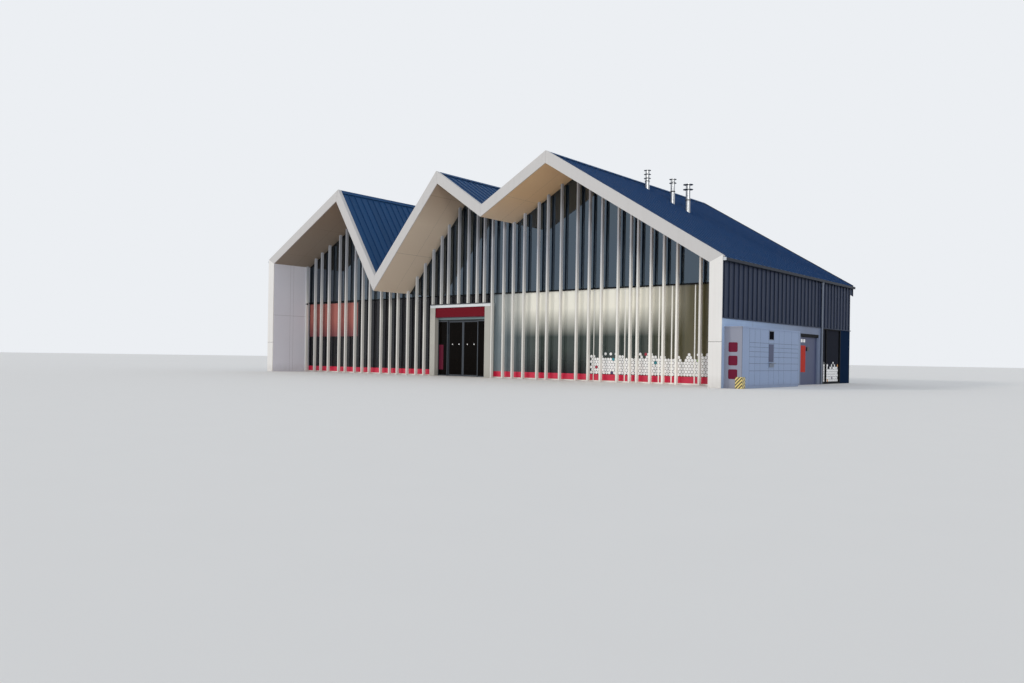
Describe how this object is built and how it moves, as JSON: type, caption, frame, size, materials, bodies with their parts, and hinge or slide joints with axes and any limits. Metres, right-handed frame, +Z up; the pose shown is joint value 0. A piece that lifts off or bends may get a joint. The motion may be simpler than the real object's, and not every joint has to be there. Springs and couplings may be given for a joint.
{
  "type": "supermarket building",
  "caption": "Single-storey supermarket with a folded gable roof over a recessed, finned glass front and sliding entrance doors.",
  "frame": {"origin": "on the ground, in the middle of the plan between the outer corners of the roof", "axes": "+Z up, +X to the right along the front as seen from the entrance side, +Y from the glass front towards the back"},
  "size_m": [29.63, 14.6, 10.223],
  "materials": {
    "cladding_metal": "satin",
    "dark_frame": "satin",
    "deck_board": "rough",
    "door_frame": "satin",
    "fin_metal": "satin",
    "floor_tile": "satin",
    "glass_clear": "glossy",
    "glass_dark": "glossy",
    "guard_rubber": "gloss",
    "gutter_metal": "satin",
    "header_metal": "satin",
    "locker_metal": "satin",
    "niche_panel": "satin",
    "offwhite_render": "satin",
    "plinth_panel": "satin",
    "portal_panel": "satin",
    "red_panel": "gloss",
    "roof_metal": "satin",
    "soffit_board": "satin",
    "stainless": "brushed",
    "window_film": "satin"
  },
  "bodies": {
    "building": {"base_panels": "red_panel", "corner_guard": "guard_rubber", "downpipe": "gutter_metal", "eaves_gutters": "gutter_metal", "entrance_header": "header_metal", "entrance_lintel": "portal_panel", "entrance_posts": "portal_panel", "entrance_sign_box": "red_panel", "facade_fins": "fin_metal", "fascia_bands": "offwhite_render", "floor_slab": "floor_tile", "flues": "stainless", "front_piers": "offwhite_render", "glazing_mullions": "dark_frame", "glazing_transom": "dark_frame", "left_gable_roofing": "roof_metal", "left_side_cladding": "cladding_metal", "left_side_plinth": "plinth_panel", "locker_bank": "locker_metal", "lower_glazing": "glass_clear", "middle_gable_roofing": "roof_metal", "porch_soffits": "soffit_board", "rear_gable_walls": "cladding_metal", "rear_plinth": "plinth_panel", "rear_verge_trim": "cladding_metal", "ridge_caps": "roof_metal", "right_gable_roofing": "roof_metal", "right_side_cladding": "cladding_metal", "right_side_dark_panels": "cladding_metal", "right_side_plinth": "plinth_panel", "roof_decks": "deck_board", "service_niche_panel": "niche_panel", "service_shutter_box": "dark_frame", "side_window_frame": "dark_frame", "side_window_glass": "glass_dark", "sidelight_frames": "door_frame", "sidelight_glass": "glass_clear", "sill_rails": "fin_metal", "upper_glazing": "glass_dark", "valley_gutters": "roof_metal", "wing_walls": "offwhite_render"},
    "left_leaf": {"left_leaf_frame": "door_frame", "left_leaf_glass": "glass_clear"},
    "right_leaf": {"right_leaf_frame": "door_frame", "right_leaf_glass": "glass_clear"}
  },
  "joints": [
    {"name": "left_leaf_slide", "type": "slide", "parent": "building", "child": "left_leaf", "axis": [-1, 0, 0], "range_m": [0, 0.95]},
    {"name": "right_leaf_slide", "type": "slide", "parent": "building", "child": "right_leaf", "axis": [1, 0, 0], "range_m": [0, 0.95]}
  ],
  "couplings": [
    {"joint": "right_leaf_slide", "follows": "left_leaf_slide", "ratio": 1}
  ]
}
